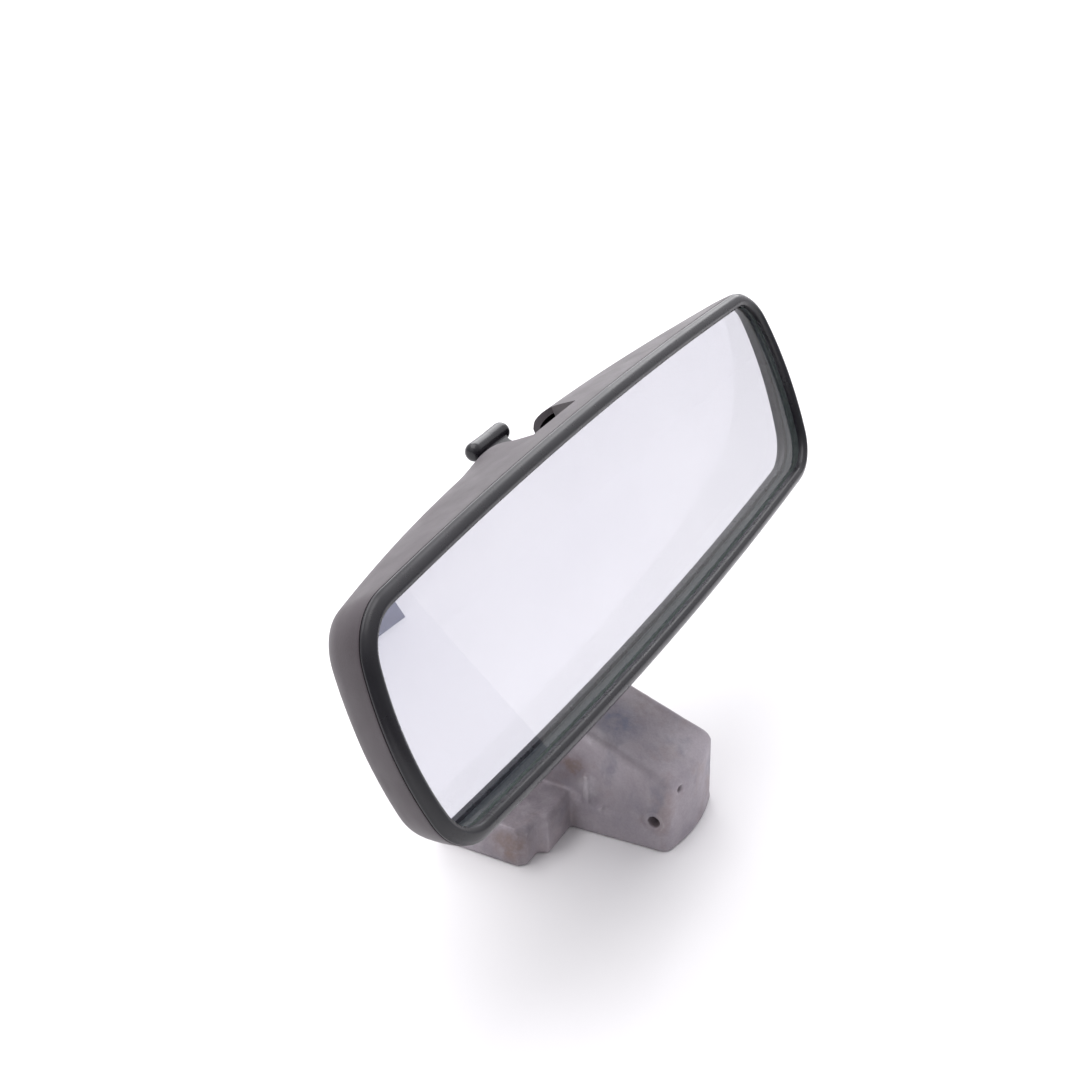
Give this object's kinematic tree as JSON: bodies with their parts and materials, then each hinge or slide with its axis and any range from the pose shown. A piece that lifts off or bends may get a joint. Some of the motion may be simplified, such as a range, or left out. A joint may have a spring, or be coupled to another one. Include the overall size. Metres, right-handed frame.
{
  "type": "interior rearview mirror",
  "caption": "Interior car rearview mirror with a prismatic glass, day/night lever, ball joint and die-cast windscreen foot.",
  "frame": {"origin": "on the foot's flat windscreen face, under the tongue, straight below the middle of the glass", "axes": "+X along the mirror, +Y away from the glass side towards the shoulders and neck, +Z out of the windscreen face towards the mirror head"},
  "size_m": [0.2396, 0.0714, 0.126],
  "materials": {
    "satin_black_plastic": "satin moulded",
    "matte_black_plastic": "fine grained, moulded",
    "black_nylon": "moulded nylon",
    "natural_nylon": "natural nylon",
    "cast_metal": "as-cast, matte",
    "zinc_plated_steel": "zinc plated",
    "dark_spring_steel": "oiled dark",
    "bright_steel": "bright",
    "silvered_glass": "rear-silvered prism",
    "black_foam": "closed-cell foam",
    "rubber": "matte rubber"
  },
  "bodies": {
    "foot": {"windscreen_foot": "cast_metal", "ball_stud": "bright_steel", "stud_roll_pin": "dark_spring_steel", "button_spring_clip": "bright_steel", "clip_screw_front": "zinc_plated_steel", "clip_screw_rear": "zinc_plated_steel"},
    "liner": {"ball_liner": "natural_nylon"},
    "cup": {"pressure_cup": "bright_steel"},
    "bracket": {"socket_housing": "black_nylon", "socket_cap": "black_nylon", "socket_screw_left": "zinc_plated_steel", "socket_screw_right": "zinc_plated_steel", "spring_washer_left": "zinc_plated_steel", "spring_washer_right": "zinc_plated_steel", "toggle_bracket": "zinc_plated_steel", "bracket_rivet_left": "zinc_plated_steel", "bracket_rivet_right": "zinc_plated_steel", "stop_bumper_left": "rubber", "stop_bumper_right": "rubber"},
    "head": {"rear_housing": "matte_black_plastic", "front_bezel": "satin_black_plastic", "mirror_glass": "silvered_glass", "glass_backing_pad": "black_foam", "pivot_rod": "bright_steel", "rod_clip_left": "dark_spring_steel", "rod_clip_right": "dark_spring_steel", "toggle_spring": "bright_steel", "lever_axle": "bright_steel"},
    "lever": {"day_night_lever": "satin_black_plastic"}
  },
  "joints": [
    {"name": "ball_swivel", "type": "hinge", "parent": "foot", "child": "liner", "pos_m": [0, 0.03314, 0.07042], "axis": [0, 0, 1], "range_deg": [-25, 25]},
    {"name": "ball_tilt", "type": "hinge", "parent": "liner", "child": "cup", "pos_m": [0, 0.03314, 0.07042], "axis": [1, 0, 0], "range_deg": [-14, 14]},
    {"name": "ball_roll", "type": "hinge", "parent": "cup", "child": "bracket", "pos_m": [0, 0.03314, 0.07042], "axis": [0, -0.911, 0.4123], "range_deg": [-12, 12]},
    {"name": "day_night_tip", "type": "hinge", "parent": "bracket", "child": "head", "pos_m": [0, 0.01144, 0.06927], "axis": [1, 0, 0], "range_deg": [0, 4.25]},
    {"name": "lever_flip", "type": "hinge", "parent": "head", "child": "lever", "pos_m": [0, 0.02829, 0.10335], "axis": [1, 0, 0], "range_deg": [0, 34]}
  ],
  "couplings": [
    {"joint": "lever_flip", "follows": "day_night_tip", "ratio": 8}
  ]
}
